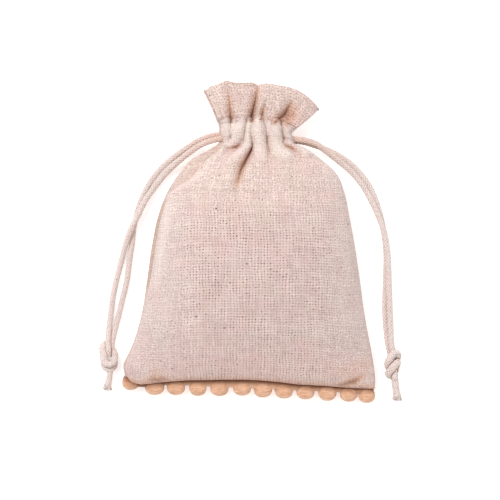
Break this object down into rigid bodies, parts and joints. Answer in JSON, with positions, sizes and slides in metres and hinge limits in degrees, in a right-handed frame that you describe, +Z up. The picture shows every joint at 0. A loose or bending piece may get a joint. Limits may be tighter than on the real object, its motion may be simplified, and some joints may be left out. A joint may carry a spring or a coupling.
{
  "type": "herb-filled drawstring pouch",
  "caption": "Small stuffed cotton muslin drawstring pouch with a gathered ruffled neck, double drawcords ending in knots and a tan pompom fringe along its bottom seam.",
  "frame": {"origin": "on the surface that the pouch rests on, under the middle of the pouch with its ruffle and fringe, drawcords apart", "axes": "+Z up out of the pouch's front face, +Y from the bottom seam to the mouth, +X to the right seen from above"},
  "size_m": [0.1085, 0.1162, 0.0275],
  "materials": {
    "cotton_cloth": "undyed coarse plain-weave cotton muslin, matt, with slubs and small dark flecks",
    "cord_cotton": "round braided undyed cotton cord, matt",
    "tan_braid": "narrow woven tan trim tape, matt",
    "pompom_yarn": "tan cotton pompom yarn, dense and matt",
    "dried_herbs": "loose cut dried herbs, matt"
  },
  "bodies": {
    "pouch": {"back_panel": "cotton_cloth", "front_panel": "cotton_cloth", "left_seam_allowance": "cotton_cloth", "right_seam_allowance": "cotton_cloth", "herb_filling": "dried_herbs", "front_casing": "cotton_cloth", "back_casing": "cotton_cloth", "gathered_core": "cotton_cloth", "front_ruffle": "cotton_cloth", "back_ruffle": "cotton_cloth", "left_cord_loop": "cord_cotton", "right_cord_loop": "cord_cotton", "fringe_braid": "tan_braid"},
    "left_drawcord": {"left_cord_over_strand": "cord_cotton", "left_cord_under_strand": "cord_cotton", "left_knot": "cord_cotton", "left_cord_first_end": "cord_cotton", "left_cord_second_end": "cord_cotton"},
    "right_drawcord": {"right_cord_over_strand": "cord_cotton", "right_cord_under_strand": "cord_cotton", "right_knot": "cord_cotton", "right_cord_first_end": "cord_cotton", "right_cord_second_end": "cord_cotton"},
    "swinging_pompom_01": {"pompom_01": "pompom_yarn"},
    "swinging_pompom_02": {"pompom_02": "pompom_yarn"},
    "swinging_pompom_03": {"pompom_03": "pompom_yarn"},
    "swinging_pompom_04": {"pompom_04": "pompom_yarn"},
    "swinging_pompom_05": {"pompom_05": "pompom_yarn"},
    "swinging_pompom_06": {"pompom_06": "pompom_yarn"},
    "swinging_pompom_07": {"pompom_07": "pompom_yarn"},
    "swinging_pompom_08": {"pompom_08": "pompom_yarn"},
    "swinging_pompom_09": {"pompom_09": "pompom_yarn"},
    "swinging_pompom_10": {"pompom_10": "pompom_yarn"},
    "swinging_pompom_11": {"pompom_11": "pompom_yarn"},
    "swinging_pompom_12": {"pompom_12": "pompom_yarn"}
  },
  "joints": [
    {"name": "left_drawcord_pull", "type": "slide", "parent": "pouch", "child": "left_drawcord", "axis": [-0.9976, 0.0698, 0], "range_m": [0, 0.004]},
    {"name": "right_drawcord_pull", "type": "slide", "parent": "pouch", "child": "right_drawcord", "axis": [0.9976, -0.0698, 0], "range_m": [0, 0.004]},
    {"name": "pompom_01_swing", "type": "hinge", "parent": "pouch", "child": "swinging_pompom_01", "pos_m": [-0.04215, -0.05045, 0.0042], "axis": [0.999, -0.045, 0], "range_deg": [-30, 30]},
    {"name": "pompom_02_swing", "type": "hinge", "parent": "pouch", "child": "swinging_pompom_02", "pos_m": [-0.03447, -0.0508, 0.0042], "axis": [0.999, -0.045, 0], "range_deg": [-30, 30]},
    {"name": "pompom_03_swing", "type": "hinge", "parent": "pouch", "child": "swinging_pompom_03", "pos_m": [-0.0268, -0.05114, 0.0042], "axis": [0.999, -0.045, 0], "range_deg": [-30, 30]},
    {"name": "pompom_04_swing", "type": "hinge", "parent": "pouch", "child": "swinging_pompom_04", "pos_m": [-0.01913, -0.05149, 0.0042], "axis": [0.999, -0.045, 0], "range_deg": [-30, 30]},
    {"name": "pompom_05_swing", "type": "hinge", "parent": "pouch", "child": "swinging_pompom_05", "pos_m": [-0.01146, -0.05183, 0.0042], "axis": [0.999, -0.045, 0], "range_deg": [-30, 30]},
    {"name": "pompom_06_swing", "type": "hinge", "parent": "pouch", "child": "swinging_pompom_06", "pos_m": [-0.00379, -0.05218, 0.0042], "axis": [0.999, -0.045, 0], "range_deg": [-30, 30]},
    {"name": "pompom_07_swing", "type": "hinge", "parent": "pouch", "child": "swinging_pompom_07", "pos_m": [0.00389, -0.05252, 0.0042], "axis": [0.999, -0.045, 0], "range_deg": [-30, 30]},
    {"name": "pompom_08_swing", "type": "hinge", "parent": "pouch", "child": "swinging_pompom_08", "pos_m": [0.01156, -0.05287, 0.0042], "axis": [0.999, -0.045, 0], "range_deg": [-30, 30]},
    {"name": "pompom_09_swing", "type": "hinge", "parent": "pouch", "child": "swinging_pompom_09", "pos_m": [0.01923, -0.05321, 0.0042], "axis": [0.999, -0.045, 0], "range_deg": [-30, 30]},
    {"name": "pompom_10_swing", "type": "hinge", "parent": "pouch", "child": "swinging_pompom_10", "pos_m": [0.0269, -0.05356, 0.0042], "axis": [0.999, -0.045, 0], "range_deg": [-30, 30]},
    {"name": "pompom_11_swing", "type": "hinge", "parent": "pouch", "child": "swinging_pompom_11", "pos_m": [0.03458, -0.0539, 0.0042], "axis": [0.999, -0.045, 0], "range_deg": [-30, 30]},
    {"name": "pompom_12_swing", "type": "hinge", "parent": "pouch", "child": "swinging_pompom_12", "pos_m": [0.04225, -0.05425, 0.0042], "axis": [0.999, -0.045, 0], "range_deg": [-30, 30]}
  ]
}
